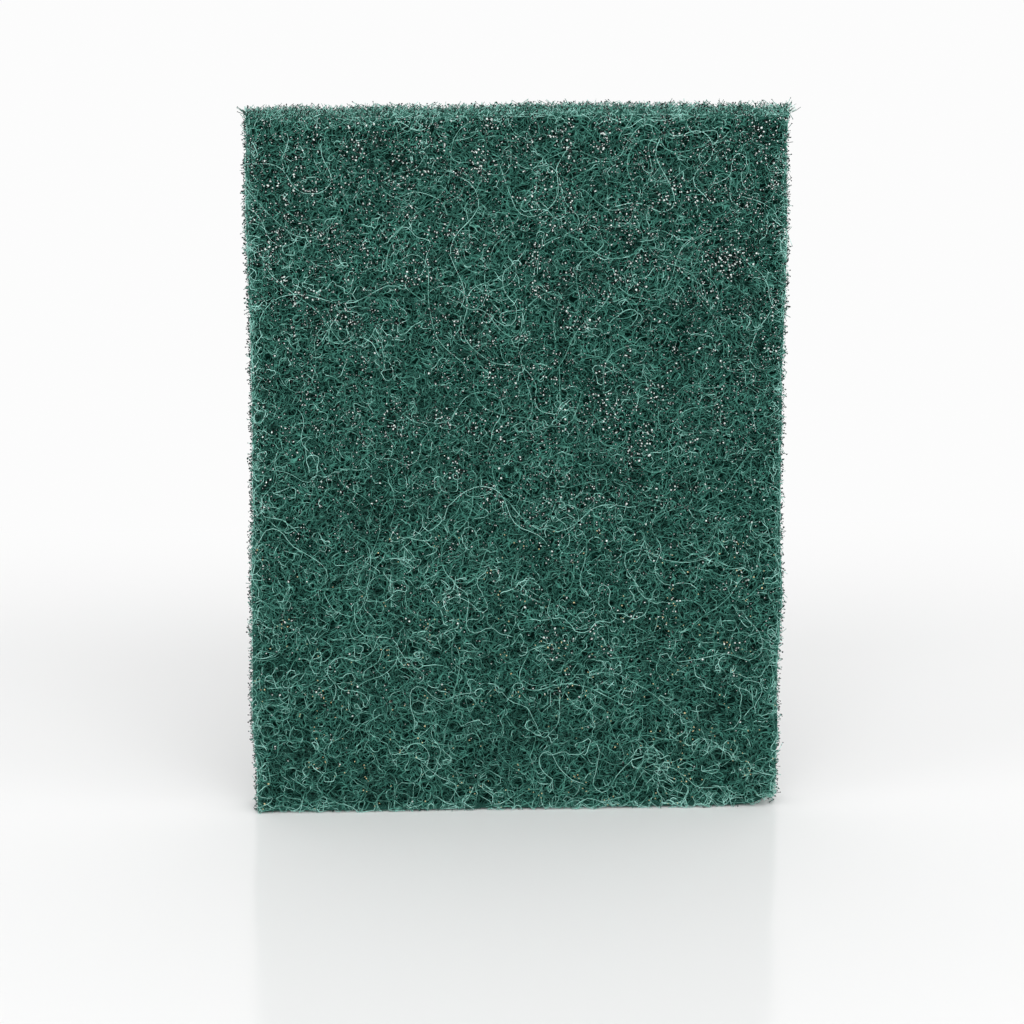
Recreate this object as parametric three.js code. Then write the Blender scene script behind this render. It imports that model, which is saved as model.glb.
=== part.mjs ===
// A nylon scouring pad: one rectangle of green non-woven web, guillotined from a wide roll of it. Curled
// nylon fibres are felted flat, sprayed with a resin that carries abrasive grit, and cured, so the pad is
// one piece all through. It stands on one short cut edge.
// Millimetres, +Z up. The origin is the middle of the edge it stands on, X runs along the pad's width, Y
// through its thickness (the front face looks along -Y), and Z along its length.

import * as THREE from "three";
import { mergeVertices } from "three/addons/utils/BufferGeometryUtils.js";

// Driving sizes
const PAD_WIDTH = 111;
const PAD_LENGTH = 150;
const PAD_THICKNESS = 8;

// Each cut wanders from a straight line. A point gives a share of the way along the edge, upwards or to the
// right, and how far the cut lies inside the full width or length there.
const LEFT_CUT = [
  [0, 0.8],
  [0.17, 0],
  [0.33, 0.25],
  [0.45, 0.95],
  [0.63, 1.1],
  [0.87, 0.5],
  [1, 0.9],
];
const RIGHT_CUT = [
  [0, 0.5],
  [0.1, 0.35],
  [0.19, 0.6],
  [0.3, 0],
  [0.4, 0.7],
  [0.63, 1.1],
  [0.82, 0.8],
  [1, 1.4],
];
const TOP_CUT = [
  [0, 0.5],
  [0.32, 0.35],
  [0.6, 0],
  [0.82, 0.25],
  [1, 0.6],
];
const CUT_RAGGEDNESS = 0.35;
const CUT_RAGGEDNESS_PITCH = 3.4;

// The faces round off towards the cut edges, and the blade ran off at one corner of the standing edge
const ROUNDING_WIDTH = 1.2;
const ROUNDING_DROP = 0.85;
const OFFCUT_WIDTH = 9;
const OFFCUT_RISE = 3;
const OFFCUT_FADE = 14;

// The two working faces: slow swells where the web was laid thicker, rolls of matted curls that wind over
// the face, and open pits between them. The relief begins past the rounding, and above the foot that the
// pad stands on.
const SWELL_DEPTH = 0.3;
const SWELL_PITCH = 26;
const CURL_DEPTH = 0.7;
const CURL_PITCH = 6.8;
const CURL_SHARPNESS = 4;
const PIT_DEPTH = 1;
const PIT_PITCH = 4.6;
const PIT_SHARE = 0.3;
const RELIEF_MARGIN = 2.4;
const FOOT_HEIGHT = 2.5;

// The facets that draw the relief are scattered by a share of their size, so that they show no grid
const FACET = 2.9;
const FACET_SCATTER = 0.3;
const SIDE_FACETS = 3;

// Finish of the resin-coated nylon
const WEB_GREEN = 0x2d5249;
const WEB_ROUGHNESS = 0.85;

const SEEDS = { swell: 11, curl: 23, pit: 37, ragged: 67, scatterX: 71, scatterZ: 83 };
const LATTICE_MIXERS = [374761393, 668265263, 2147483629, 1274126177, 1103515245, 2246822519];
const WHOLE_RANGE = 2 ** 32;
const HALF = new THREE.Vector3(PAD_WIDTH / 2, PAD_THICKNESS / 2, PAD_LENGTH / 2);
const ON_FACE = 1e-4;
const { clamp, lerp, smoothstep } = THREE.MathUtils;

// A repeatable number from 0 to 1 for a whole-numbered place in space.
function latticeValue(x, y, z, seed) {
  const [forX, forY, forZ, forSeed, first, second] = LATTICE_MIXERS;
  let mixed = Math.imul(x, forX) ^ Math.imul(y, forY) ^ Math.imul(z, forZ) ^ Math.imul(seed, forSeed);
  mixed = Math.imul(mixed ^ (mixed >>> 13), first);
  mixed = Math.imul(mixed ^ (mixed >>> 16), second);
  return ((mixed ^ (mixed >>> 15)) >>> 0) / WHOLE_RANGE;
}

// Smooth noise from 0 to 1 that changes over one pitch.
function noise(point, pitch, seed) {
  const at = point.clone().divideScalar(pitch);
  const cell = at.clone().floor();
  const share = at.sub(cell);
  const ease = (t) => smoothstep(t, 0, 1);
  const alongX = (dy, dz) =>
    lerp(
      latticeValue(cell.x, cell.y + dy, cell.z + dz, seed),
      latticeValue(cell.x + 1, cell.y + dy, cell.z + dz, seed),
      ease(share.x),
    );
  const low = lerp(alongX(0, 0), alongX(1, 0), ease(share.y));
  const high = lerp(alongX(0, 1), alongX(1, 1), ease(share.y));
  return lerp(low, high, ease(share.z));
}

// How far the matted surface lies below the pad's full thickness at a point of a working face. The noise
// crosses its middle value along winding lines, and a roll of curls stands up along each of them.
function faceRelief(point) {
  const swell = SWELL_DEPTH * noise(point, SWELL_PITCH, SEEDS.swell);
  const fromRoll = Math.min(1, CURL_SHARPNESS * Math.abs(noise(point, CURL_PITCH, SEEDS.curl) - 0.5));
  const openness = smoothstep(noise(point, PIT_PITCH, SEEDS.pit), 1 - PIT_SHARE, 1);
  return swell + CURL_DEPTH * fromRoll + PIT_DEPTH * openness;
}

// How far a cut lies inside the full size at a share of the way along it, eased from each of its points to
// the next.
function cutInset(cut, share) {
  const next = Math.max(1, cut.findIndex(([at]) => at >= Math.min(share, 1)));
  const [fromShare, fromInset] = cut[next - 1];
  const [toShare, toInset] = cut[next];
  return lerp(fromInset, toInset, smoothstep(share, fromShare, toShare));
}

// How much lower the face is beside a cut edge, for a distance from that edge.
function roundingDrop(toRim) {
  const over = 1 - clamp(toRim / ROUNDING_WIDTH, 0, 1);
  return ROUNDING_DROP * over * over;
}

// Moves the line of facets next to a rim, which is one step from it, to where the rounding begins.
function toRounding(value, half, step) {
  const fromRim = half - Math.abs(value);
  return fromRim > ON_FACE && fromRim < step + ON_FACE ? Math.sign(value) * (half - ROUNDING_WIDTH) : value;
}

// Takes a point of the plain slab to its place on the ragged, matted pad. The foot stays flat and square.
function matted(slabPoint, steps) {
  const fromMiddle = slabPoint.clone().setZ(slabPoint.z - HALF.z);
  const onSide = HALF.x - Math.abs(fromMiddle.x) < ON_FACE;
  const onFace = HALF.y - Math.abs(fromMiddle.y) < ON_FACE;
  const onTop = HALF.z - fromMiddle.z < ON_FACE;
  const onFoot = HALF.z + fromMiddle.z < ON_FACE;
  const place = new THREE.Vector3(
    toRounding(fromMiddle.x, HALF.x, steps.x),
    fromMiddle.y,
    (onFoot ? fromMiddle.z : toRounding(fromMiddle.z, HALF.z, steps.z)) + HALF.z,
  );
  const toRim = Math.min(HALF.x - Math.abs(place.x), PAD_LENGTH - place.z);
  const aboveFoot = smoothstep(place.z, 0, FOOT_HEIGHT);
  const raggedness = CUT_RAGGEDNESS * noise(slabPoint, CUT_RAGGEDNESS_PITCH, SEEDS.ragged) * aboveFoot;
  if (onFace) {
    const inland = smoothstep(toRim, 0, RELIEF_MARGIN);
    place.y -= Math.sign(place.y) * aboveFoot * (roundingDrop(toRim) + faceRelief(place) * inland);
    if (toRim > RELIEF_MARGIN && place.z > FOOT_HEIGHT) {
      place.x += FACET_SCATTER * steps.x * (2 * noise(slabPoint, 1, SEEDS.scatterX) - 1);
      place.z += FACET_SCATTER * steps.z * (2 * noise(slabPoint, 1, SEEDS.scatterZ) - 1);
    }
  }
  if (onSide) {
    const side = Math.sign(place.x);
    place.x -= side * (cutInset(side < 0 ? LEFT_CUT : RIGHT_CUT, slabPoint.z / PAD_LENGTH) + raggedness);
  }
  if (onTop) {
    place.z -= cutInset(TOP_CUT, (slabPoint.x + HALF.x) / PAD_WIDTH) + raggedness;
  }
  return liftedCorner(place, onFoot, steps);
}

// Where the blade ran off, the standing edge curves up to the corner, and the web above it is drawn up less and
// less. A facet line of the foot is moved to where it leaves the floor.
function liftedCorner(place, onFoot, steps) {
  const leaves = HALF.x - OFFCUT_WIDTH;
  if (onFoot && Math.abs(place.x - leaves) < steps.x / 2) {
    place.x = leaves;
  }
  const along = Math.max(0, place.x - leaves) / OFFCUT_WIDTH;
  place.z += OFFCUT_RISE * along * along * (1 - smoothstep(place.z, 0, OFFCUT_FADE));
  return place;
}

function padGeometry() {
  const across = Math.round(PAD_WIDTH / FACET);
  const along = Math.round(PAD_LENGTH / FACET);
  const steps = { x: PAD_WIDTH / across, z: PAD_LENGTH / along };
  const slab = new THREE.BoxGeometry(PAD_WIDTH, PAD_THICKNESS, PAD_LENGTH, across, SIDE_FACETS, along);
  slab.translate(0, 0, HALF.z);
  slab.deleteAttribute("normal");
  slab.deleteAttribute("uv");
  const pad = mergeVertices(slab, ON_FACE);
  const places = pad.getAttribute("position");
  for (let i = 0; i < places.count; i += 1) {
    const { x, y, z } = matted(new THREE.Vector3().fromBufferAttribute(places, i), steps);
    places.setXYZ(i, x, y, z);
  }
  pad.computeVertexNormals();
  return pad;
}

function scouringPad() {
  const finish = new THREE.MeshStandardMaterial({ color: WEB_GREEN, roughness: WEB_ROUGHNESS, metalness: 0 });
  const pad = new THREE.Mesh(padGeometry(), finish);
  pad.name = "scouring_pad";
  return pad;
}

const part = new THREE.Group();
part.add(scouringPad());

export default part;
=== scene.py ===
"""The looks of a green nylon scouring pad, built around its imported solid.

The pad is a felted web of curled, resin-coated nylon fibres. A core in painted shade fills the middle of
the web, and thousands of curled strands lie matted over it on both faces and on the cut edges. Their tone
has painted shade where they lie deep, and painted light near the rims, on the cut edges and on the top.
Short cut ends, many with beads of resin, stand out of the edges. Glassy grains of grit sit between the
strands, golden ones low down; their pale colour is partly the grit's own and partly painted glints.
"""

import math

import bpy
import numpy as np
from mathutils import Matrix, Vector
from mathutils.bvhtree import BVHTree


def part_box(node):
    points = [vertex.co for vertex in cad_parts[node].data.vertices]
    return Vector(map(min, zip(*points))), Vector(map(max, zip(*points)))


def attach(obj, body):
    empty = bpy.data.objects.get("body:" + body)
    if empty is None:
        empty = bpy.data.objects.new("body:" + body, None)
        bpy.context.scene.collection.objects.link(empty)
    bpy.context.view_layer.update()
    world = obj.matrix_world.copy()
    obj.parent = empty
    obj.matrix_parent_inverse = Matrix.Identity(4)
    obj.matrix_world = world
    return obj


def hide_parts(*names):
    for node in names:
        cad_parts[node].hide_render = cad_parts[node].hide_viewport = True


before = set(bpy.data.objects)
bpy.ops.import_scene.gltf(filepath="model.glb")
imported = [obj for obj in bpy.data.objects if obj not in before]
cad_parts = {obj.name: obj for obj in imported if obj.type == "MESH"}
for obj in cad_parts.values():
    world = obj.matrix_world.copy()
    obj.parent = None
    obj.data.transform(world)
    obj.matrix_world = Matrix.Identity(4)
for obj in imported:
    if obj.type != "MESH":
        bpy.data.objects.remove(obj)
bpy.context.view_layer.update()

MM = 0.001
PAD_NODE = "scouring_pad"
BODY = "root"
WEB_SLOT = "nylon_web"
GRIT_SLOT = "abrasive_grit"
PAD_LOW, PAD_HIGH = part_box(PAD_NODE)
HALF_THICKNESS = PAD_HIGH.y
PAD_LENGTH = PAD_HIGH.z
PAD_WIDTH = PAD_HIGH.x - PAD_LOW.x

# The camera, as the corners of the photographed pad place it
FOCAL_PIXELS = 4000
PICTURE_PIXELS = 1024
SENSOR_MM = 36
CAMERA_DISTANCE = 824.57 * MM
CAMERA_PITCH = math.radians(17.91)
CAMERA_YAW = math.radians(2.47)
CAMERA_ROLL = math.radians(0.13)
CAMERA_ASIDE = -1.0 * MM
CAMERA_RAISED = -9.56 * MM
AIM_HEIGHT = 75 * MM
NEAREST_SEEN, FURTHEST_SEEN = 0.01, 20

# Strands of the web: closed tubes of a few sides, with steps as long as their bends allow
STRAND_RADIUS = 0.073 * MM
CHORD_ERROR = 0.075 * MM
SIDES = 3
INSIDE_OUTLINE = 0.02 * MM
ABOVE_FLOOR = 0.1 * MM
UV_MAP = "OFBake"
SEED = 4107

# The layers of each face: how deep they lie below its relief, in mm, and how many strands they have
DEEP = (0.35, 0.9)
MIDDLE = (0.15, 0.6)
UPPER = (-0.05, 0.35)
FRONT_DEEP_CURLS, FRONT_CURLS, FRONT_UPPER_CURLS, FRONT_LONG_STRANDS = 1950, 2650, 2200, 200
BACK_DEEP_CURLS, BACK_CURLS, BACK_LONG_STRANDS = 1400, 1850, 160

# The cut edges: how many arcs the cut laid open and how many ends stick out, per square millimetre
ARCS_PER_MM2 = {"left": 0.74, "right": 0.74, "top": 0.5, "foot": 0.7}
STUBS_PER_MM2 = {"left": 1.15, "right": 1.15, "top": 4.2, "foot": 0.3}
STUB_ROOT = 0.6 * MM
STUB_SHORTEST, STUB_FURTHER, STUB_LONGEST = 0.15, 0.22, 1.0
TOP_STUB_EXTRA = 0.3 * MM
FOOT_STUB_REACH = 0.03 * MM
STUB_LEAN, STUB_BOW = 0.85, 0.22
LOWEST_STUB = 0.12 * MM
BEADED_SHARE = 0.55
BEADED_SHARE_ON_TOP = 0.2

# Curls of the face mats: their bend radius in mm at the top, what the foot adds, and how much it varies
CURL_BEND, CURL_BEND_LOW, CURL_BEND_SPREAD = 0.6, 0.4, 0.38
LONG_BEND, LONG_BEND_SPREAD = 3.0, 0.45
ARC_BEND, ARC_BEND_SPREAD = 1.1, 0.35
ARC_DEPTH = 0.9 * MM

# A strand's slow and fast swings of curl: how far each goes, and its length in bend radii
SLOW_SWING, SLOW_PITCHES = 0.95, (3.5, 8)
FAST_SWING, FAST_PITCHES = 0.45, (1.8, 3.2)

# Tone of a strand, from below 0 in shade to above 1 where it is pale: the mean and spread of each kind, and
# what clouds over the face change in it. Each mm of depth or of relief darkens it with painted shade, the
# nearness of a rim pales it with painted light, and the arcs of the cut edges and the arcs and ends on the
# top are set paler as painted light
CURL_TONE, CURL_TONE_SPREAD = 0.6, 0.27
LONG_TONE, LONG_TONE_SPREAD = 0.8, 0.16
PAINTED_LIT_ARC_TONE, PAINTED_LIT_TOP_ARC_TONE, ARC_TONE_SPREAD = 0.92, 1.1, 0.2
STUB_TONE, PAINTED_LIT_TOP_STUB_TONE, STUB_TONE_SPREAD = 0.4, 0.5, 0.35
WIDE_CLOUD_TONE, CLOSE_CLOUD_TONE = 0.28, 0.3
DEPTH_PAINTED_SHADE, RELIEF_PAINTED_SHADE, ARC_DEPTH_PAINTED_SHADE = 0.75, 0.15, 0.5
RIM_PAINTED_LIGHT = 0.35

# Grit and resin: grains on each face, their half sizes in mm, and the specks drawn on the strands, partly
# painted glints
GRAINS_PER_FACE = 2100
TRIES_PER_GRAIN = 40
GOLDEN_PER_FACE = 900
GOLDEN_REACH = 0.42 * PAD_LENGTH
GRAIN_SIZES = (0.1, 0.27)
GOLDEN_SIZES = (0.13, 0.21)
BEAD_SIZES = (0.24, 0.42)
TIP_BEAD_SIZES = (0.13, 0.25)
GRAIN_STRAY = 0.14
GRAIN_PROUD = 0.24 * MM
LOWEST_BEAD = 0.45 * MM
GRIT_SPACING = 0.65 * MM
GRIT_GLINT_SPECK = 0.15 * MM
RESIN_SPECK = 0.3 * MM
GRIT_CLOUD = 4 * MM
GRIT_CLOUD_RANGE = (0.37, 0.62)
GRIT_FULL_HEIGHT = 0.14

# Colours, from the painted shade of the web's deepest gaps to pale green, part paler fibre and part painted
# highlight
GRIT_AND_GLINT_WHITE = (0.84, 0.95, 0.91, 1.0)
RESIN_BLACK = (0.0015, 0.0060, 0.0050, 1.0)
# Painted shade: the near black in the deepest gaps of the web, and the shaded green of deep strands
DEEPEST_SHADE_GREEN = (0.0010, 0.0080, 0.0060, 1.0)
SHADED_GREEN = (0.005, 0.040, 0.030, 1.0)
CUT_GREEN = (0.050, 0.175, 0.140, 1.0)
WEB_GREEN = (0.102, 0.348, 0.276, 1.0)
PALE_AND_HIGHLIGHT_GREEN = (0.450, 0.850, 0.760, 1.0)
# The pale and golden grains: partly the grit's own colour and partly painted glints
GLASS_GRAIN_AND_GLINT = (0.86, 0.97, 0.93, 1.0)
GOLDEN_GRAIN_AND_GLINT = (0.88, 0.74, 0.40, 1.0)
DARK_RESIN = (0.004, 0.009, 0.008, 1.0)

# Gloss of the strands, the grains and the core; deep strands and the core have none, as painted shade
COAT_ROUGHNESS, COAT_GLOSS, SHADED_GLOSS = 0.38, 0.22, 0.0
GLASS_ROUGHNESS, GLASS_GLOSS = 0.2, 0.6
GOLDEN_ROUGHNESS, GOLDEN_GLOSS = 0.3, 0.5
RESIN_ROUGHNESS, RESIN_GLOSS = 0.3, 0.2
COAT_PATCH = 0.6 * MM
COAT_UNEVENNESS = 1.1
CORE_ROUGHNESS = 0.7

# The arcs drawn on the core: their bend radii and half width in mm, and how far each set is bent
CORE_BENDS = (1.5, 1.0, 1.8, 0.8, 1.2, 0.7, 1.5, 0.9, 1.1)
CORE_ARC_HALF_WIDTH = 0.095
CORE_ARC_HEIGHT = 0.2 * MM
CORE_WOBBLES = (1.1, 1.6, 2.2)
# Painted shade in the core: how much darker it gets in the pits, and how much of it gives way to mid green
# on the cut walls
PIT_SHADE = 0.8
CUT_SHADE = 0.75

# The core lies inside the solid, and its map has the front face on the left, the back face to its right,
# and the walls in a strip on top
CORE_PITCH = 1.1 * MM
CORE_INSET = 0.2 * MM
CORE_FOOT_INSET = 0.45 * MM
CORE_WALL_LAYERS = 5
MAP_MARGIN = 0.01
WALL_STRIP = 0.12

# Stage and light, in metres and watts
FLOOR_WHITE, FLOOR_ROUGHNESS, FLOOR_GLOSS = 0.885, 0.12, 0.27
FLOOR_ENDS = 90 * MM
BACKDROP_BEGINS = 190 * MM
BACKDROP_WHITE = 0.975
WORLD_STRENGTH = 0.8
LAMP_AIM = (0, 0, 0.07)
KEY_PLACE, KEY_WIDTH, KEY_HEIGHT, KEY_POWER = (0.1, -1.0, 1.05), 1.4, 0.9, 8
SIDE_ASIDE, SIDE_FORWARD, SIDE_HIGH = 1.0, -0.45, 0.45
SIDE_WIDTH, SIDE_HEIGHT, SIDE_POWER = 0.5, 0.8, 1.5


def linked(obj):
    bpy.context.scene.collection.objects.link(obj)
    return obj


# Camera


def make_camera():
    """It looks along +Y, turned by the yaw, tipped down by the pitch and moved in its picture plane."""
    level_ahead = Vector((math.sin(CAMERA_YAW), math.cos(CAMERA_YAW), 0))
    ahead = math.cos(CAMERA_PITCH) * level_ahead - math.sin(CAMERA_PITCH) * Vector((0, 0, 1))
    level = Vector((math.cos(CAMERA_YAW), -math.sin(CAMERA_YAW), 0))
    raised = level.cross(ahead)
    right = math.cos(CAMERA_ROLL) * level + math.sin(CAMERA_ROLL) * raised
    up = math.cos(CAMERA_ROLL) * raised - math.sin(CAMERA_ROLL) * level
    place = Vector((0, 0, AIM_HEIGHT)) - CAMERA_DISTANCE * ahead
    place += CAMERA_ASIDE * right + CAMERA_RAISED * up
    data = bpy.data.cameras.new("photo_camera")
    data.sensor_width = SENSOR_MM
    data.lens = FOCAL_PIXELS / PICTURE_PIXELS * SENSOR_MM
    data.clip_start, data.clip_end = NEAREST_SEEN, FURTHEST_SEEN
    camera = linked(bpy.data.objects.new("photo_camera", data))
    camera.matrix_world = Matrix.Translation(place) @ Matrix((right, up, -ahead)).transposed().to_4x4()
    bpy.context.scene.camera = camera


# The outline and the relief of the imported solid


class Outline:
    """How far the solid reaches to the left and right at a height, and up and down at a place across."""

    def __init__(self, mesh):
        corners = np.array([v.co for v in mesh.vertices])
        middle = corners[np.abs(corners[:, 1]) < HALF_THICKNESS / 2]
        half = PAD_HIGH.x
        self.left_line = self.line(middle[middle[:, 0] < -0.9 * half], 2, 0, min)
        self.right_line = self.line(middle[middle[:, 0] > 0.9 * half], 2, 0, max)
        self.top_line = self.line(middle[middle[:, 2] > 0.9 * PAD_LENGTH], 0, 2, max)
        self.foot_line = self.line(middle[middle[:, 2] < 0.1 * PAD_LENGTH], 0, 2, min)

    @staticmethod
    def line(points, along, reach, furthest):
        """The outermost points, sorted along the edge."""
        found = {}
        for point in points:
            key = round(float(point[along]) / MM)
            value = float(point[reach])
            found[key] = furthest(found.get(key, value), value)
        keys = sorted(found)
        return np.array(keys) * MM, np.array([found[key] for key in keys])

    def left(self, z):
        return np.interp(z, *self.left_line)

    def right(self, z):
        return np.interp(z, *self.right_line)

    def top(self, x):
        return np.interp(x, *self.top_line)

    def foot(self, x):
        return np.interp(x, *self.foot_line)

    def room(self, x, z):
        """The distance to the nearest cut edge, negative outside the pad."""
        across = np.minimum(x - self.left(z), self.right(z) - x)
        upright = np.minimum(self.top(x) - z, z - self.foot(x))
        return np.minimum(across, upright)


class Relief:
    """How deep a working face of the solid lies below the pad's full thickness."""

    PITCH = 1.0 * MM

    def __init__(self, mesh, side):
        tree = BVHTree.FromPolygons(
            [v.co for v in mesh.vertices], [p.vertices for p in mesh.polygons]
        )
        self.across = int(round(PAD_WIDTH / self.PITCH)) + 1
        self.along = int(round(PAD_LENGTH / self.PITCH)) + 1
        self.depths = np.zeros((self.across, self.along))
        start = side * 2 * HALF_THICKNESS
        for i in range(self.across):
            for k in range(self.along):
                where = Vector((PAD_LOW.x + i * self.PITCH, start, k * self.PITCH))
                met = tree.ray_cast(where, Vector((0, -side, 0)))[0]
                if met is not None:
                    self.depths[i, k] = HALF_THICKNESS - abs(met.y)

    def at(self, x, z):
        u = np.clip((x - PAD_LOW.x) / self.PITCH, 0, self.across - 1.001)
        v = np.clip(z / self.PITCH, 0, self.along - 1.001)
        i, k = u.astype(int), v.astype(int)
        return bilinear(self.depths, i, k, u - i, v - k)


def bilinear(values, i, k, du, dv):
    low = values[i, k] * (1 - du) + values[i + 1, k] * du
    high = values[i, k + 1] * (1 - du) + values[i + 1, k + 1] * du
    return low * (1 - dv) + high * dv


class Clouds:
    """Smooth random values from 0 to 1 over a face, which change over one pitch."""

    def __init__(self, rng, pitch):
        self.pitch = pitch
        size = int(2 * PAD_LENGTH / pitch) + 4
        self.values = rng.random((size, size))

    def at(self, x, z):
        u = (x + PAD_LENGTH) / self.pitch
        v = (z + PAD_LENGTH / 4) / self.pitch
        i, k = u.astype(int), v.astype(int)
        du, dv = u - i, v - k
        return bilinear(self.values, i, k, du * du * (3 - 2 * du), dv * dv * (3 - 2 * dv))


# Materials


class Shading:
    """A short way to write a node material: each call adds a node and links or sets its inputs."""

    def __init__(self, name):
        self.material = bpy.data.materials.new(name)
        self.material.use_nodes = True
        self.tree = self.material.node_tree
        self.shader = self.tree.nodes["Principled BSDF"]

    def add(self, kind, **inputs):
        node = self.tree.nodes.new(kind)
        for name, value in inputs.items():
            self.put(node.inputs[name.replace("_", " ")], value)
        return node

    def put(self, socket, value):
        if isinstance(value, bpy.types.NodeSocket):
            self.tree.links.new(value, socket)
        else:
            socket.default_value = value

    def mix(self, share, first, second):
        node = self.add("ShaderNodeMix")
        node.data_type = "RGBA"
        fraction, a, b = node.inputs[0], node.inputs[6], node.inputs[7]
        self.put(fraction, share)
        self.put(a, first)
        self.put(b, second)
        return node.outputs[2]

    def maths(self, operation, first, second):
        node = self.add("ShaderNodeMath")
        node.operation = operation
        self.put(node.inputs[0], first)
        self.put(node.inputs[1], second)
        return node.outputs[0]

    def spread(self, value, low, high):
        """0 at low, 1 at high, and eased between them."""
        node = self.add("ShaderNodeMapRange", Value=value, From_Min=low, From_Max=high)
        node.interpolation_type = "SMOOTHSTEP"
        return node.outputs[0]

    def noise(self, size):
        where = self.add("ShaderNodeTexCoord").outputs["Object"]
        return self.add("ShaderNodeTexNoise", Vector=where, Scale=1 / size).outputs["Fac"]

    def on_surface(self, wobble):
        """Places on the surface as two coordinates in mm, bent by a share of the noise in them."""
        where = self.add("ShaderNodeTexCoord").outputs["Object"]
        rows = []
        for direction in ((1, 1.3, 0), (0, 1.1, 1)):
            row = self.add("ShaderNodeVectorMath")
            row.operation = "DOT_PRODUCT"
            self.put(row.inputs[0], where)
            self.put(row.inputs[1], tuple(c / MM for c in direction))
            rows.append(row.outputs["Value"])
        flat = self.add("ShaderNodeCombineXYZ", X=rows[0], Y=rows[1]).outputs[0]
        bent = self.add("ShaderNodeTexNoise", Vector=flat, Scale=0.45, Detail=1.0).outputs["Color"]
        shift = self.add("ShaderNodeVectorMath")
        shift.operation = "MULTIPLY_ADD"
        self.put(shift.inputs[0], bent)
        self.put(shift.inputs[1], (wobble, wobble, 0))
        self.put(shift.inputs[2], flat)
        return shift.outputs[0]

    def curls(self, where, bend, half_width, turn):
        """1 on arcs of one bend radius in mm, 0 away from them, with a random value for each arc."""
        turned = self.add("ShaderNodeVectorRotate", Vector=where, Angle=turn)
        turned.rotation_type = "Z_AXIS"
        cell = 2.1 * bend
        cells = self.add("ShaderNodeTexVoronoi", Vector=turned.outputs[0], Scale=1 / cell)
        cells.voronoi_dimensions = "2D"
        away = self.maths("ABSOLUTE", self.maths("SUBTRACT", cells.outputs["Distance"], bend / cell), 0)
        arcs = self.spread(away, half_width / cell, 0.3 * half_width / cell)
        return arcs, self.add("ShaderNodeSeparateColor", Color=cells.outputs["Color"]).outputs[0]

    def gritty(self, colour):
        """Specks of grit in dark resin over a colour, their white partly painted glints: in clouds, and
        fewer low on the pad.
        """
        where = self.add("ShaderNodeTexCoord").outputs["Object"]
        cells = self.add("ShaderNodeTexVoronoi", Vector=where, Scale=1 / GRIT_SPACING)
        own = self.add("ShaderNodeSeparateColor", Color=cells.outputs["Color"]).outputs[0]
        height = self.add("ShaderNodeSeparateXYZ", Vector=where).outputs["Z"]
        clouds = self.spread(self.noise(GRIT_CLOUD), *GRIT_CLOUD_RANGE)
        share = self.maths("MULTIPLY", clouds, self.spread(height, 0.0, GRIT_FULL_HEIGHT))
        away = self.maths("ADD", cells.outputs["Distance"], self.maths("GREATER_THAN", own, share))
        resin = self.spread(away, RESIN_SPECK / GRIT_SPACING, 0.7 * RESIN_SPECK / GRIT_SPACING)
        # White specks on the resin specks: partly grit and partly painted glints
        grit = self.spread(away, GRIT_GLINT_SPECK / GRIT_SPACING, 0.6 * GRIT_GLINT_SPECK / GRIT_SPACING)
        return self.mix(grit, self.mix(resin, colour, RESIN_BLACK), GRIT_AND_GLINT_WHITE)

    def attribute(self, name):
        node = self.add("ShaderNodeAttribute")
        node.attribute_name = name
        return node.outputs["Fac"]

    def bump(self, height, distance):
        node = self.add("ShaderNodeBump", Height=height, Distance=distance)
        self.put(self.shader.inputs["Normal"], node.outputs[0])


def strand_material(name, specular):
    """Resin-coated nylon. The shade of each strand is in its mesh, and the coat is uneven along it."""
    s = Shading(name)
    uneven = s.maths("MULTIPLY", s.maths("SUBTRACT", s.noise(COAT_PATCH), 0.5), COAT_UNEVENNESS)
    shade = s.maths("ADD", s.attribute("shade"), uneven)
    dark = s.mix(s.spread(shade, -0.1, 0.5), SHADED_GREEN, WEB_GREEN)
    # Painted highlight: the palest tones blend into pale green, partly the fibres' own paler tone
    s.put(s.shader.inputs["Base Color"], s.gritty(s.mix(s.spread(shade, 0.45, 1.1), dark, PALE_AND_HIGHLIGHT_GREEN)))
    s.shader.inputs["Roughness"].default_value = COAT_ROUGHNESS
    s.shader.inputs["Specular IOR Level"].default_value = specular
    return s.material


def core_material():
    """The depth of the web in painted shade: arcs of shaded strands laid over each other, with dark gaps
    between them.
    """
    s = Shading("web_in_shade")
    colour, height = DEEPEST_SHADE_GREEN, 0
    surfaces = [s.on_surface(wobble) for wobble in CORE_WOBBLES]
    for layer, bend in enumerate(CORE_BENDS):
        share = (layer + 1) / len(CORE_BENDS)
        turn = 0.9 * layer + 0.2
        arcs, own = s.curls(surfaces[layer % len(surfaces)], bend, CORE_ARC_HALF_WIDTH, turn)
        # Painted shade: the deeper a set of arcs lies, the darker its green
        lit = s.mix(s.maths("MULTIPLY", s.maths("ADD", own, 0.3), share), SHADED_GREEN, WEB_GREEN)
        colour = s.mix(s.maths("MULTIPLY", arcs, 0.4 + 0.6 * share), colour, lit)
        height = s.maths("MAXIMUM", height, s.maths("MULTIPLY", arcs, share))
    # Painted shade: the core darkens towards the middle of each pit
    closed = s.maths("SUBTRACT", 1, s.maths("MULTIPLY", s.attribute("openness"), PIT_SHADE))
    faces = s.mix(closed, DEEPEST_SHADE_GREEN, colour)
    # On the cut walls a mid green takes the place of most of the painted shade
    cut_open = s.maths("MULTIPLY", s.attribute("cut"), CUT_SHADE)
    s.put(s.shader.inputs["Base Color"], s.gritty(s.mix(cut_open, faces, CUT_GREEN)))
    s.shader.inputs["Roughness"].default_value = CORE_ROUGHNESS
    s.shader.inputs["Specular IOR Level"].default_value = 0.0
    s.bump(height, CORE_ARC_HEIGHT)
    return s.material


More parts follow.
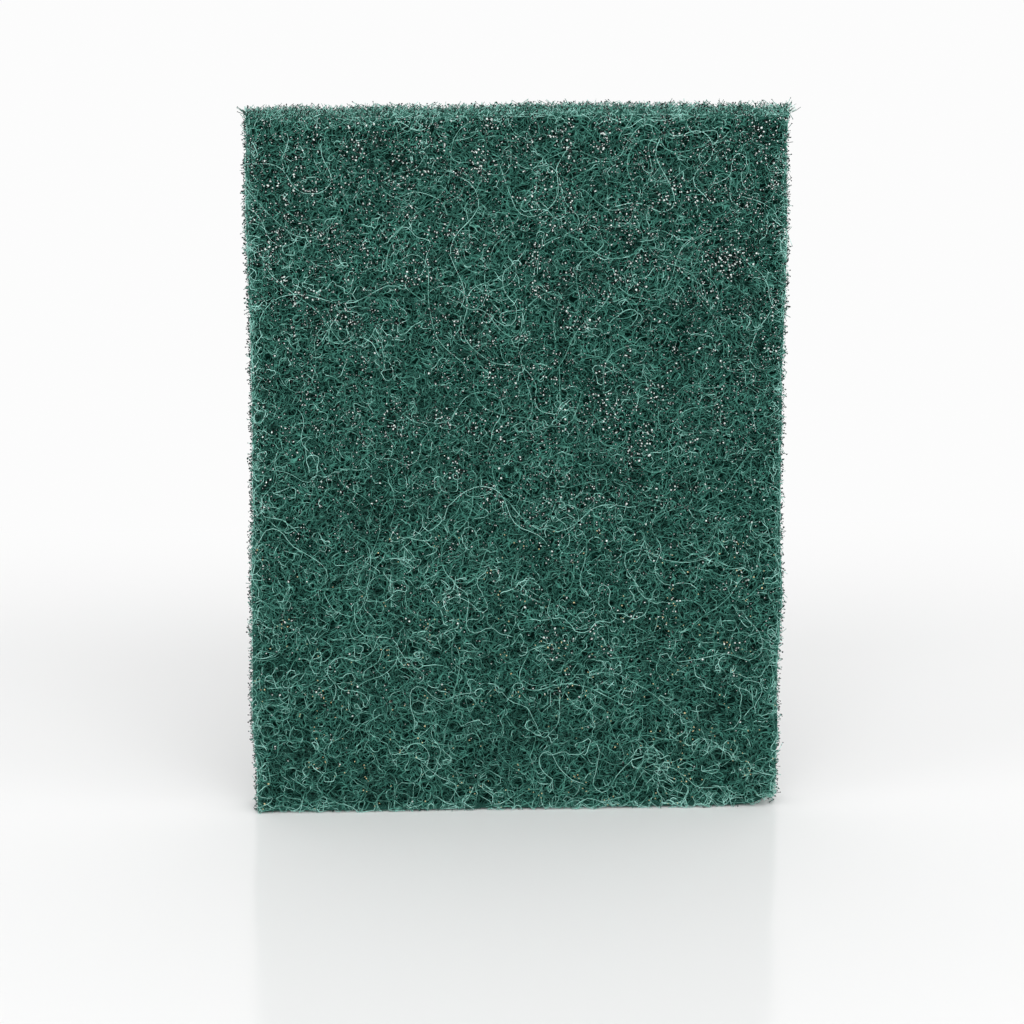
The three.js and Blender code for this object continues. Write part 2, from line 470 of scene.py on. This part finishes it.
def grain_material(name, colour, roughness, specular):
    """Mineral grit, its colour partly painted glints, or cured resin, each grain of its own shade."""
    s = Shading(name)
    island = s.add("ShaderNodeNewGeometry").outputs["Random Per Island"]
    darker = tuple(0.6 * c for c in colour[:3]) + (1.0,)
    s.put(s.shader.inputs["Base Color"], s.mix(island, darker, colour))
    s.shader.inputs["Roughness"].default_value = roughness
    s.shader.inputs["Specular IOR Level"].default_value = specular
    return s.material


# Meshes


def mesh_object(name, vertices, faces_by_size, material):
    """One mesh from corner places and, for each count of corners, an array of faces."""
    loops = np.concatenate([faces.ravel() for faces in faces_by_size])
    counts = np.concatenate([np.full(len(faces), faces.shape[1]) for faces in faces_by_size])
    mesh = bpy.data.meshes.new(name)
    mesh.vertices.add(len(vertices))
    mesh.vertices.foreach_set("co", vertices.astype(np.float32).ravel())
    mesh.loops.add(len(loops))
    mesh.loops.foreach_set("vertex_index", loops.astype(np.int32))
    mesh.polygons.add(len(counts))
    starts = np.concatenate([[0], np.cumsum(counts)[:-1]])
    mesh.polygons.foreach_set("loop_start", starts.astype(np.int32))
    mesh.polygons.foreach_set("use_smooth", np.ones(len(counts), bool))
    mesh.update(calc_edges=True)
    mesh.materials.append(material)
    return linked(bpy.data.objects.new(name, mesh))


def unit(vectors):
    return vectors / (np.linalg.norm(vectors, axis=1)[:, None] + 1e-15)


def tubes(name, strands, material):
    """One mesh of closed three-sided tubes along the strands."""
    points, radius, shade = strands.points, strands.radius, strands.shade
    last = np.cumsum(strands.counts) - 1
    first = last - strands.counts + 1
    ahead = np.zeros_like(points)
    ahead[:-1] = points[1:] - points[:-1]
    ahead[last] = ahead[last - 1]
    behind = np.zeros_like(points)
    behind[1:] = ahead[:-1]
    behind[first] = ahead[first]
    along = unit(unit(ahead) + unit(behind))
    steep = np.abs(along[:, 1:2]) > 0.9
    helper = np.where(steep, np.array([[1.0, 0.0, 0.0]]), np.array([[0.0, 1.0, 0.0]]))
    across = unit(np.cross(along, helper))
    out = np.cross(across, along)
    rings = []
    for side in range(SIDES):
        turn = 2 * math.pi * side / SIDES
        rings.append(points + radius[:, None] * (math.cos(turn) * across + math.sin(turn) * out))
    vertices = np.stack(rings, 1).reshape(-1, 3)
    joined = np.ones(len(points), bool)
    joined[last] = False
    ring = np.nonzero(joined)[0] * SIDES
    walls = []
    for side in range(SIDES):
        after = (side + 1) % SIDES
        walls.append(np.stack([ring + side, ring + SIDES + side, ring + SIDES + after, ring + after], 1))
    near = np.stack([first * SIDES + k for k in range(SIDES)], 1)
    far = np.stack([last * SIDES + SIDES - 1 - k for k in range(SIDES)], 1)
    piece = mesh_object(name, vertices, [np.concatenate(walls), near, far], material)
    set_values(piece, np.repeat(shade, SIDES), "shade")
    unwrap_strands(piece, strands, np.nonzero(joined)[0])
    return piece


def unwrap_strands(piece, strands, steps):
    """Each strand gets a square of the map: along it to the right, round it upwards."""
    count = len(strands.counts)
    grid = math.ceil(math.sqrt(count))
    own = np.repeat(np.arange(count), strands.counts)
    first = np.cumsum(strands.counts) - strands.counts
    share = (np.arange(len(own)) - first[own]) / (strands.counts[own] - 1)
    corner = np.stack([own % grid, own // grid], 1)
    margin = 0.06

    def place(points, rounds):
        inside = np.stack([share[points], np.full(len(points), rounds / SIDES)], 1)
        return (corner[points] + margin + (1 - 2 * margin) * inside) / grid

    parts = []
    for side in range(SIDES):
        below, above = place(steps, side), place(steps, side + 1)
        below_next, above_next = place(steps + 1, side), place(steps + 1, side + 1)
        parts.append(np.stack([below, below_next, above_next, above], 1).reshape(-1, 2))
    last = first + strands.counts - 1
    for ends in (first, last):
        parts.append(np.stack([place(ends, k) for k in range(SIDES)], 1).reshape(-1, 2))
    set_map(piece, np.concatenate(parts))


def set_values(piece, values, name):
    """Keeps one number for each point of a mesh under a name that its material reads."""
    attribute = piece.data.attributes.new(name, "FLOAT", "POINT")
    attribute.data.foreach_set("value", values.astype(np.float32))


def set_map(piece, places):
    layer = piece.data.uv_layers.new(name=UV_MAP)
    layer.uv.foreach_set("vector", places.astype(np.float32).ravel())


class Strands:
    """Points of many strands one after another, how many each has, and each point's radius and shade."""

    def __init__(self, points, counts, radius, shade):
        self.points, self.counts, self.radius, self.shade = points, counts, radius, shade

    @staticmethod
    def kept(points, keep, radius, shade):
        """From arrays of strands by steps: each run of three or more kept points becomes a strand."""
        before = np.pad(keep, ((0, 0), (1, 0)))[:, :-1]
        after = np.pad(keep, ((0, 0), (0, 1)))[:, 1:]
        starts = np.nonzero((keep & ~before).ravel())[0]
        counts = np.nonzero((keep & ~after).ravel())[0] - starts + 1
        long_enough = counts >= 3
        starts, counts = starts[long_enough], counts[long_enough]
        first = np.cumsum(counts) - counts
        index = np.repeat(starts - first, counts) + np.arange(counts.sum())
        return Strands(points.reshape(-1, 3)[index], counts, radius.ravel()[index], shade.ravel()[index])


def curled(rng, bend, steps, drift):
    """Plane curls from a start at the origin: places by strand and step, and the length up to each step.

    The curl of a strand swings about its own mean, which is at most drift times that of its bend radius.
    """
    count = len(bend)
    step = np.sqrt(8 * bend * CHORD_ERROR)
    length = step[:, None] * np.arange(steps + 1)[None, :]
    mean = drift * rng.uniform(0.3, 1.0, count) * rng.choice([-1, 1], count)
    swings = []
    for pitches in (SLOW_PITCHES, FAST_PITCHES):
        turns_made = length / (bend * rng.uniform(*pitches, count))[:, None]
        swings.append(np.sin(2 * math.pi * (turns_made + rng.random(count)[:, None])))
    slow, fast = swings
    turning = (mean[:, None] + SLOW_SWING * slow + FAST_SWING * fast) * (step / bend)[:, None]
    heading = rng.uniform(0, 2 * math.pi, count)[:, None] + np.cumsum(turning, axis=1)
    moves = step[:, None, None] * np.stack([np.cos(heading), np.sin(heading)], 2)
    return np.cumsum(moves, axis=1), length


# The pieces of the web


class Pits:
    """Open pits in a face, which the strands run around. They are wider low on the pad."""

    SPACING = 4.3 * MM
    OPENED = 0.9
    REACH = 1.7

    def __init__(self, rng):
        count = int(PAD_WIDTH * PAD_LENGTH / self.SPACING**2)
        self.x = rng.uniform(PAD_LOW.x, PAD_HIGH.x, count)
        self.z = PAD_LENGTH * rng.random(count) ** 1.3
        lowness = 1 - self.z / PAD_LENGTH
        self.radius = rng.uniform(0.35, 0.65 + 0.55 * lowness) * MM

    def pushed(self, x, z):
        """Moves places near a pit's middle out towards its rim."""
        x, z = x.copy(), z.copy()
        for middle_x, middle_z, radius in zip(self.x, self.z, self.radius):
            dx, dz = x - middle_x, z - middle_z
            away = np.hypot(dx, dz)
            near = away < self.REACH * radius
            out = self.OPENED * radius + (1 - self.OPENED / self.REACH) * away[near]
            grown = out / np.maximum(away[near], 1e-6 * MM)
            x[near] = middle_x + dx[near] * grown
            z[near] = middle_z + dz[near] * grown
        return x, z

    def openness(self, x, z):
        """1 in the middle of a pit and 0 from its rim outwards."""
        found = np.zeros_like(x)
        for middle_x, middle_z, radius in zip(self.x, self.z, self.radius):
            away = np.hypot(x - middle_x, z - middle_z) / radius
            found = np.maximum(found, np.clip(1.3 - away, 0, 1))
        return found


class Face:
    """One working face of the pad: side -1 is the front and 1 the back."""

    WIDE_CLOUD, CLOSE_CLOUD, DIMPLE, GRAIN_CLOUD = 13 * MM, 5 * MM, 3 * MM, 3.2 * MM
    RIM_MARGIN = 4 * MM
    RIM_GAP = 0.15 * MM
    END_DIP, END_REACH = 0.7 * MM, 1.2 * MM
    HIGHEST = -0.2 * MM
    # How near a rim the strands are flattened, and how far in from it the painted light on them reaches
    FLAT_RIM, PALE_RIM = 2.5 * MM, 3 * MM
    WAVE_LENGTHS = (2.6, 7)

    def __init__(self, rng, mesh, side, outline):
        self.side = side
        self.outline = outline
        self.relief = Relief(mesh, side)
        self.pits = Pits(rng)
        self.wide_clouds = Clouds(rng, self.WIDE_CLOUD)
        self.close_clouds = Clouds(rng, self.CLOSE_CLOUD)
        self.dimples = Clouds(rng, self.DIMPLE)
        self.grit_clouds = Clouds(rng, self.GRAIN_CLOUD)

    def place(self, x, z, depth):
        return np.stack([x, self.side * (HALF_THICKNESS - depth), z], -1)

    def starts(self, rng, count):
        """Places all over the face, and more on its rims, where the blade pressed the web together."""
        x = rng.uniform(PAD_LOW.x - self.RIM_MARGIN, PAD_HIGH.x + self.RIM_MARGIN, count)
        z = rng.uniform(-self.RIM_MARGIN, PAD_LENGTH + self.RIM_MARGIN, count)
        x = np.clip(x, self.outline.left(z) + self.RIM_GAP, self.outline.right(z) - self.RIM_GAP)
        z = np.clip(z, self.outline.foot(x) + self.RIM_GAP, self.outline.top(x) - self.RIM_GAP)
        return x, z

    def strands(self, rng, starts, bend, steps, drift, layer, swing, shade, radius):
        """Curled strands in the face, which swing up and down about the depth of their layer."""
        count = len(bend)
        plane, length = curled(rng, bend, steps, drift)
        x, z = self.pits.pushed(starts[0][:, None] + plane[:, :, 0], starts[1][:, None] + plane[:, :, 1])
        waves = length / (rng.uniform(*self.WAVE_LENGTHS, count)[:, None] * MM)
        waves = 2 * math.pi * (waves + rng.random(count)[:, None])
        below = layer[:, None] + swing[:, None] * np.sin(waves)
        to_end = np.minimum(length, length[:, -1:] - length)
        below += self.END_DIP * np.clip(1 - to_end / self.END_REACH, 0, 1) ** 2
        below = np.maximum(below, self.HIGHEST)
        relief = self.relief.at(x, z)
        room = self.outline.room(x, z)
        below = below * (0.3 + 0.7 * np.clip(room / self.FLAT_RIM, 0, 1))
        tone = shade[:, None] + WIDE_CLOUD_TONE * (self.wide_clouds.at(x, z) - 0.5)
        tone = tone + CLOSE_CLOUD_TONE * (self.close_clouds.at(x, z) - 0.5)
        # Painted shade: strands lying deeper, and in deeper relief, are darker
        tone = tone - DEPTH_PAINTED_SHADE * below / MM - RELIEF_PAINTED_SHADE * relief / MM
        # Painted light: strands are paler near a rim
        tone = tone + RIM_PAINTED_LIGHT * np.clip(1 - room / self.PALE_RIM, 0, 1)
        thick = radius[:, None] * np.ones_like(length)
        inside = (room > INSIDE_OUTLINE) & (z > ABOVE_FLOOR)
        return Strands.kept(self.place(x, z, relief + below), inside, thick, tone)


def face_mat(rng, face, count, depths, steps=11):
    """Short tight curls. They are wider low on the pad."""
    starts = face.starts(rng, count)
    lowness = np.clip(1 - starts[1] / PAD_LENGTH, 0, 1)
    bend = CURL_BEND + CURL_BEND_LOW * lowness
    bend = bend * np.exp(rng.normal(0, CURL_BEND_SPREAD, count)).clip(0.5, 2.6) * MM
    layer = rng.uniform(*depths, count) * MM
    swing = rng.uniform(0.1, 0.5, count) * MM
    shade = rng.normal(CURL_TONE, CURL_TONE_SPREAD, count)
    radius = STRAND_RADIUS * rng.uniform(0.75, 1.2, count) * (0.86 + 0.06 * lowness)
    return face.strands(rng, starts, bend, steps, 1.0, layer, swing, shade, radius)


def long_strands(rng, face, count, steps=20):
    """Paler strands that run over the mat, most of them for 20 to 35 mm."""
    starts = face.starts(rng, count)
    bend = np.exp(rng.normal(math.log(LONG_BEND), LONG_BEND_SPREAD, count)).clip(1.5, 8) * MM
    layer = rng.uniform(-0.1, 0.2, count) * MM
    swing = rng.uniform(0.05, 0.25, count) * MM
    shade = rng.normal(LONG_TONE, LONG_TONE_SPREAD, count)
    radius = STRAND_RADIUS * rng.uniform(0.65, 1.0, count)
    return face.strands(rng, starts, bend, steps, 0.45, layer, swing, shade, radius)


class Edge:
    """One cut edge. A place on it is told by how far along, across the thickness, and inwards it is."""

    def __init__(self, outline, name):
        self.outline, self.name = outline, name
        upright = name in ("left", "right")
        height = PAD_LENGTH if name == "top" else 0
        across = (outline.left(height), outline.right(height))
        self.low, self.high = (0, PAD_LENGTH) if upright else across

    def place(self, along, across, inwards):
        line = getattr(self.outline, self.name)(along)
        if self.name == "left":
            return np.stack([line + inwards, across, along], -1)
        if self.name == "right":
            return np.stack([line - inwards, across, along], -1)
        if self.name == "top":
            return np.stack([along, across, line - inwards], -1)
        return np.stack([along, across, line + inwards], -1)

    def area(self):
        return (self.high - self.low) * 2 * HALF_THICKNESS


def edge_mat(rng, edge, density, steps=6):
    """Arcs of strands that the cut has laid open, lying much as the felted layers do."""
    count = int(density * edge.area() / MM**2)
    bend = np.exp(rng.normal(math.log(ARC_BEND), ARC_BEND_SPREAD, count)).clip(0.5, 2.5) * MM
    plane, length = curled(rng, bend, steps, 1.0)
    along = rng.uniform(edge.low, edge.high, count)[:, None] + plane[:, :, 0]
    inwards = ARC_DEPTH * rng.random(count)[:, None] ** 2 + 0.2 * np.abs(plane[:, :, 1])
    middle = HALF_THICKNESS * rng.uniform(-0.97, 0.97, count)
    across = middle[:, None] + 0.45 * (plane[:, :, 1] - plane[:, :1, 1])
    points = edge.place(along, across, inwards)
    room = edge.outline.room(points[..., 0], points[..., 2])
    rounding = 0.3 * np.clip(1 - inwards / ARC_DEPTH, 0, 1) ** 2 * MM
    inside = (room > INSIDE_OUTLINE) & (points[..., 2] > ABOVE_FLOOR)
    inside = inside & (np.abs(across) < HALF_THICKNESS - rounding)
    # Painted light: arcs on the cut edges are paler than the face's curls, and those on the top paler still
    tone = PAINTED_LIT_TOP_ARC_TONE if edge.name == "top" else PAINTED_LIT_ARC_TONE
    # Painted shade: arcs lying further into the cut are darker
    shade = rng.normal(tone, ARC_TONE_SPREAD, count)[:, None] - ARC_DEPTH_PAINTED_SHADE * inwards / MM
    radius = STRAND_RADIUS * rng.uniform(0.8, 1.15, count)[:, None] * np.ones_like(length)
    return Strands.kept(points, inside, radius, shade)


def cut_stubs(rng, edge, density):
    """Short ends that stick out of a cut edge. Returns the strands and the places of their tips."""
    count = int(density * edge.area() / MM**2)
    steps = 2
    out = (STUB_SHORTEST + rng.exponential(STUB_FURTHER, count)).clip(max=STUB_LONGEST) * MM
    if edge.name == "top":
        out += TOP_STUB_EXTRA
    if edge.name == "foot":
        out = FOOT_STUB_REACH * np.ones(count)
    share = np.linspace(0, 1, steps + 1)[None, :]
    inwards = STUB_ROOT - (STUB_ROOT + out[:, None]) * share
    lean = rng.normal(0, STUB_LEAN, (count, 2)) * (STUB_ROOT + out[:, None])
    bow = rng.normal(0, STUB_BOW, (count, 2)) * MM
    along = rng.uniform(edge.low, edge.high, count)[:, None]
    across = HALF_THICKNESS * rng.uniform(-0.93, 0.93, count)[:, None]
    curve = np.sin(math.pi * share)
    along = along + lean[:, :1] * share + bow[:, :1] * curve
    across = across + lean[:, 1:] * share + bow[:, 1:] * curve
    across = across.clip(-HALF_THICKNESS, HALF_THICKNESS)
    points = edge.place(along, across, inwards)
    points[..., 2] = np.maximum(points[..., 2], LOWEST_STUB)
    radius = STRAND_RADIUS * rng.uniform(0.7, 1.05, count)[:, None] * np.ones((1, steps + 1))
    # Painted light: the ends on the top are paler than those on the other edges
    tone = PAINTED_LIT_TOP_STUB_TONE if edge.name == "top" else STUB_TONE
    shade = rng.normal(tone, STUB_TONE_SPREAD, count)
    shade = shade[:, None] * np.ones((1, steps + 1))
    keep = np.ones((count, steps + 1), bool)
    return Strands.kept(points, keep, radius, shade), points[:, -1]


def joined(several):
    return Strands(
        np.concatenate([s.points for s in several]),
        np.concatenate([s.counts for s in several]),
        np.concatenate([s.radius for s in several]),
        np.concatenate([s.shade for s in several]),
    )


OCTAHEDRON = np.array([(1, 0, 0), (-1, 0, 0), (0, 1, 0), (0, -1, 0), (0, 0, 1), (0, 0, -1)], float)
OCTAHEDRON_FACES = np.array(
    [(0, 2, 4), (2, 1, 4), (1, 3, 4), (3, 0, 4), (2, 0, 5), (1, 2, 5), (3, 1, 5), (0, 3, 5)]
)


def turns(rng, count):
    """Random rotations, from random unit quaternions."""
    four = rng.normal(size=(4, count))
    w, x, y, z = four / np.linalg.norm(four, axis=0)
    rows = [
        [1 - 2 * (y * y + z * z), 2 * (x * y - w * z), 2 * (x * z + w * y)],
        [2 * (x * y + w * z), 1 - 2 * (x * x + z * z), 2 * (y * z - w * x)],
        [2 * (x * z - w * y), 2 * (y * z + w * x), 1 - 2 * (x * x + y * y)],
    ]
    return np.moveaxis(np.array(rows), 2, 0)


def grains(rng, name, centres, sizes, material, smooth=False):
    """Small crystals, each an octahedron stretched and turned at random, with its own part of the map."""
    count = len(centres)
    shapes = OCTAHEDRON[None] * rng.uniform(0.65, 1.2, (count, 1, 3)) * sizes[:, None, None]
    vertices = np.einsum("nij,nkj->nki", turns(rng, count), shapes) + centres[:, None]
    faces = (OCTAHEDRON_FACES[None] + 6 * np.arange(count)[:, None, None]).reshape(-1, 3)
    piece = mesh_object(name, vertices.reshape(-1, 3), [faces], material)
    piece.data.polygons.foreach_set("use_smooth", np.full(len(faces), smooth))
    grid = math.ceil(math.sqrt(len(faces)))
    own = np.arange(len(faces))
    corner = np.stack([own % grid, own // grid], 1)
    triangle = np.array([(0.1, 0.1), (0.9, 0.1), (0.1, 0.9)])
    set_map(piece, (corner[:, None] + triangle[None]).reshape(-1, 2) / grid)
    return piece


def scattered(rng, face, count, height_power, contrast, depths):
    """Places on a face, more where its grit clouds are thick. A power above 0 thins them low down."""
    tries = TRIES_PER_GRAIN * count
    x = rng.uniform(PAD_LOW.x, PAD_HIGH.x, tries)
    z = rng.uniform(0, PAD_LENGTH, tries)
    wanted = face.grit_clouds.at(x, z) ** contrast * (z / PAD_LENGTH) ** height_power
    kept = (rng.random(tries) < wanted) & (face.outline.room(x, z) > 0.5 * MM)
    x, z = x[kept][:count], z[kept][:count]
    depth = face.relief.at(x, z) + rng.uniform(*depths, len(x)) * MM
    return face.place(x, z, depth)


def core(rng, faces, outline, material):
    """The closed middle of the web, a little inside the solid, dimpled all over."""
    across = int(PAD_WIDTH / CORE_PITCH)
    along = int(PAD_LENGTH / CORE_PITCH)
    u, v = np.meshgrid(np.linspace(0, 1, across + 1), np.linspace(0, 1, along + 1), indexing="ij")
    z_guess = v * PAD_LENGTH
    left, right = outline.left(z_guess) + CORE_INSET, outline.right(z_guess) - CORE_INSET
    x = left + u * (right - left)
    low, high = outline.foot(x) + CORE_FOOT_INSET, outline.top(x) - CORE_INSET
    z = low + v * (high - low)
    sheets, open_shares = [], []
    for face in faces:
        dimples = 0.6 * face.dimples.at(x, z) + 0.2 * rng.random(x.shape)
        rim = np.minimum(np.minimum(u, 1 - u) * across, np.minimum(v, 1 - v) * along)
        rounding = 0.2 * np.clip(1 - rim / 2, 0, 1) ** 2
        inland = 0.35 + 0.65 * np.clip(rim / 3, 0, 1)
        openness = face.pits.openness(x, z)
        depth = face.relief.at(x, z) + ((0.6 + dimples + 0.5 * openness) * inland + rounding) * MM
        sheets.append(face.place(x, z, depth).reshape(-1, 3))
        open_shares.append(openness.ravel())
    index = np.arange(x.size).reshape(x.shape)
    rim = np.concatenate([index[:-1, 0], index[-1, :-1], index[:0:-1, -1], index[0, :0:-1]])
    layers = CORE_WALL_LAYERS
    walls = []
    for share in np.linspace(0, 1, layers + 2)[1:-1]:
        walls.append(sheets[0][rim] * (1 - share) + sheets[1][rim] * share)
    vertices = np.concatenate([*sheets, *walls])
    rows = [rim]
    for layer in range(layers):
        rows.append(2 * x.size + len(rim) * layer + np.arange(len(rim)))
    rows.append(x.size + rim)
    front = np.stack([index[:-1, :-1], index[1:, :-1], index[1:, 1:], index[:-1, 1:]], -1).reshape(-1, 4)
    quads = [front, front[:, ::-1] + x.size]
    for first, second in zip(rows, rows[1:]):
        quads.append(np.stack([np.roll(first, -1), first, second, np.roll(second, -1)], 1))
    piece = mesh_object("web_core", vertices, [np.concatenate(quads)], material)
    flat = np.stack([u.ravel(), v.ravel()], 1)
    maps = [half_map(flat[front], 0), half_map(flat[front[:, ::-1]], 1)]
    for layer in range(layers + 1):
        maps.append(strip_map(len(rim), layer, layers + 1))
    set_map(piece, np.concatenate(maps).reshape(-1, 2))
    wall_count = layers * len(rim)
    set_values(piece, np.concatenate([*open_shares, np.zeros(wall_count)]), "openness")
    on_rim = np.zeros(x.size)
    on_rim[rim] = 1
    set_values(piece, np.concatenate([on_rim, on_rim, np.ones(wall_count)]), "cut")
    return piece


def half_map(places, half):
    across = MAP_MARGIN + (0.5 - 2 * MAP_MARGIN) * places[..., 0] + 0.5 * half
    along = MAP_MARGIN + (1 - WALL_STRIP - 2 * MAP_MARGIN) * places[..., 1]
    return np.stack([across, along], -1)


def strip_map(count, layer, layers):
    starts = np.arange(count) / count
    ends = starts + 1 / count
    low = 1 - WALL_STRIP + MAP_MARGIN + (WALL_STRIP - 2 * MAP_MARGIN) * layer / layers
    high = low + (WALL_STRIP - 2 * MAP_MARGIN) / layers
    corners = [(ends, low), (starts, low), (starts, high), (ends, high)]
    return np.stack([np.stack([x, np.full(count, y)], 1) for x, y in corners], 1)


# Stage and light


def seen_directly(tree):
    """1 for the rays that show the background itself, and 0 for those that light the object."""
    path = tree.nodes.new("ShaderNodeLightPath")
    seen = path.outputs["Is Camera Ray"]
    for other in ("Is Glossy Ray", "Is Transmission Ray"):
        either = tree.nodes.new("ShaderNodeMath")
        either.operation = "MAXIMUM"
        tree.links.new(seen, either.inputs[0])
        tree.links.new(path.outputs[other], either.inputs[1])
        seen = either.outputs[0]
    return seen


def sweep_material():
    """Glossy white under the pad, and a plain white backdrop from a little way behind it."""
    s = Shading("white_sweep")
    s.shader.inputs["Base Color"].default_value = (FLOOR_WHITE, FLOOR_WHITE, FLOOR_WHITE, 1)
    s.shader.inputs["Roughness"].default_value = FLOOR_ROUGHNESS
    s.shader.inputs["Specular IOR Level"].default_value = FLOOR_GLOSS
    where = s.add("ShaderNodeTexCoord").outputs["Object"]
    depth = s.add("ShaderNodeSeparateXYZ", Vector=where).outputs["Y"]
    behind = s.spread(depth, FLOOR_ENDS, BACKDROP_BEGINS)
    share = s.maths("MULTIPLY", behind, seen_directly(s.tree))
    plain = s.add("ShaderNodeEmission", Strength=BACKDROP_WHITE)
    both = s.add("ShaderNodeMixShader", Fac=share)
    s.put(both.inputs[1], s.shader.outputs[0])
    s.put(both.inputs[2], plain.outputs[0])
    s.put(s.tree.nodes["Material Output"].inputs["Surface"], both.outputs[0])
    return s.material


def make_floor():
    """A white table that curves up into a backdrop behind the pad."""
    half_width, front, flat, radius, height = 2.5, -2.5, 1.4, 0.5, 1.6
    profile = [(front, 0.0)]
    for angle in np.linspace(0, math.pi / 2, 17):
        profile.append((flat + radius * math.sin(angle), radius * (1 - math.cos(angle))))
    profile.append((flat + radius, height))
    vertices = np.array([(x, y, z) for y, z in profile for x in (-half_width, half_width)])
    rows = np.arange(len(profile) - 1)[:, None] * 2
    floor = mesh_object("sweep", vertices, [rows + np.array([[0, 1, 3, 2]])], sweep_material())


def make_world():
    world = bpy.data.worlds.new("studio")
    bpy.context.scene.world = world
    world.use_nodes = True
    tree = world.node_tree
    background = tree.nodes["Background"]
    background.inputs["Color"].default_value = (1, 1, 1, 1)
    strength = tree.nodes.new("ShaderNodeMapRange")
    tree.links.new(seen_directly(tree), strength.inputs["Value"])
    strength.inputs["To Min"].default_value = WORLD_STRENGTH
    strength.inputs["To Max"].default_value = BACKDROP_WHITE
    tree.links.new(strength.outputs[0], background.inputs["Strength"])


def make_lamp(name, place, width, height, power):
    data = bpy.data.lights.new(name, "AREA")
    data.shape = "RECTANGLE"
    data.size, data.size_y, data.energy = width, height, power
    lamp = linked(bpy.data.objects.new(name, data))
    away = (Vector(place) - Vector(LAMP_AIM)).normalized()
    lamp.matrix_world = Matrix.Translation(place) @ away.to_track_quat("Z", "Y").to_matrix().to_4x4()


def web_pieces(rng, faces, outline):
    """The strands and the core. Also returns the tips of the cut ends."""
    front, back = faces
    # The deep strands are a shaded copy of the coated nylon, without gloss, as painted shade
    shaded = strand_material("nylon_in_shade", SHADED_GLOSS)
    coated = strand_material("resin_coated_nylon", COAT_GLOSS)
    edges = [Edge(outline, name) for name in ("left", "right", "top", "foot")]
    stubs = [cut_stubs(rng, edge, STUBS_PER_MM2[edge.name]) for edge in edges]
    front_deep = face_mat(rng, front, FRONT_DEEP_CURLS, DEEP)
    front_middle = face_mat(rng, front, FRONT_CURLS, MIDDLE)
    front_upper = face_mat(rng, front, FRONT_UPPER_CURLS, UPPER)
    front_long = long_strands(rng, front, FRONT_LONG_STRANDS)
    back_deep = face_mat(rng, back, BACK_DEEP_CURLS, DEEP)
    back_upper = face_mat(rng, back, BACK_CURLS, UPPER)
    back_long = long_strands(rng, back, BACK_LONG_STRANDS)
    arcs = [edge_mat(rng, edge, ARCS_PER_MM2[edge.name]) for edge in edges]
    pieces = [
        tubes("front_mat_deep", front_deep, shaded),
        tubes("front_mat", front_middle, coated),
        tubes("front_mat_outer", joined([front_upper, front_long]), coated),
        tubes("back_mat_deep", back_deep, shaded),
        tubes("back_mat", joined([back_upper, back_long]), coated),
        tubes("edge_mat", joined(arcs), coated),
        tubes("cut_ends", joined([stub for stub, _ in stubs]), coated),
    ]
    web = core(rng, faces, outline, core_material())
    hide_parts(PAD_NODE)
    return [web, *pieces], np.concatenate([tips for _, tips in stubs])


def grit_pieces(rng, faces, tips):
    """Pale grains, each on a bead of dark resin, golden grains low down, and beads on many cut ends. The
    colours of the pale and golden grains are partly the grit's own and partly painted glints.
    """
    glass = grain_material("grit", GLASS_GRAIN_AND_GLINT, GLASS_ROUGHNESS, GLASS_GLOSS)
    gold = grain_material("golden_grit", GOLDEN_GRAIN_AND_GLINT, GOLDEN_ROUGHNESS, GOLDEN_GLOSS)
    resin = grain_material("dark_resin", DARK_RESIN, RESIN_ROUGHNESS, RESIN_GLOSS)
    beads = np.concatenate([
        scattered(rng, face, GRAINS_PER_FACE, height_power=1.2, contrast=4.0, depths=(-0.05, 0.25))
        for face in faces
    ])
    sides = np.sign(beads[:, 1])
    pale = beads + rng.normal(0, GRAIN_STRAY, beads.shape) * MM
    pale[:, 1] = beads[:, 1] + sides * GRAIN_PROUD
    low = np.concatenate([
        scattered(rng, face, GOLDEN_PER_FACE, height_power=-0.1, contrast=3.5, depths=(0.0, 0.35))
        for face in faces
    ])
    low = low[low[:, 2] < GOLDEN_REACH]
    on_top = tips[:, 2] > PAD_LENGTH - 1 * MM
    tips = tips[rng.random(len(tips)) < np.where(on_top, BEADED_SHARE_ON_TOP, BEADED_SHARE)]
    dark = np.concatenate([tips, beads])
    dark[:, 2] = np.maximum(dark[:, 2], LOWEST_BEAD)
    tip_sizes = rng.uniform(*TIP_BEAD_SIZES, len(tips))
    bead_sizes = rng.uniform(*BEAD_SIZES, len(beads))
    dark_sizes = np.concatenate([tip_sizes, bead_sizes]) * MM
    return [
        grains(rng, "grit_grains_painted_glints", pale, rng.uniform(*GRAIN_SIZES, len(pale)) * MM, glass),
        grains(rng, "golden_grains_painted_glints", low, rng.uniform(*GOLDEN_SIZES, len(low)) * MM, gold),
        grains(rng, "resin_beads", dark, dark_sizes, resin, True),
    ]


def main():
    bpy.context.scene.view_settings.view_transform = "Standard"
    make_camera()
    rng = np.random.default_rng(SEED)
    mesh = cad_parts[PAD_NODE].data
    outline = Outline(mesh)
    faces = (Face(rng, mesh, -1, outline), Face(rng, mesh, 1, outline))
    web, tips = web_pieces(rng, faces, outline)
    grit = grit_pieces(rng, faces, tips)
    for pieces, slot in ((web, WEB_SLOT), (grit, GRIT_SLOT)):
        for piece in pieces:
            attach(piece, BODY)
    make_floor()
    make_world()
    make_lamp("key", KEY_PLACE, KEY_WIDTH, KEY_HEIGHT, KEY_POWER)
    for name, side in (("side_left", -1), ("side_right", 1)):
        place = (side * SIDE_ASIDE, SIDE_FORWARD, SIDE_HIGH)
        make_lamp(name, place, SIDE_WIDTH, SIDE_HEIGHT, SIDE_POWER)


main()
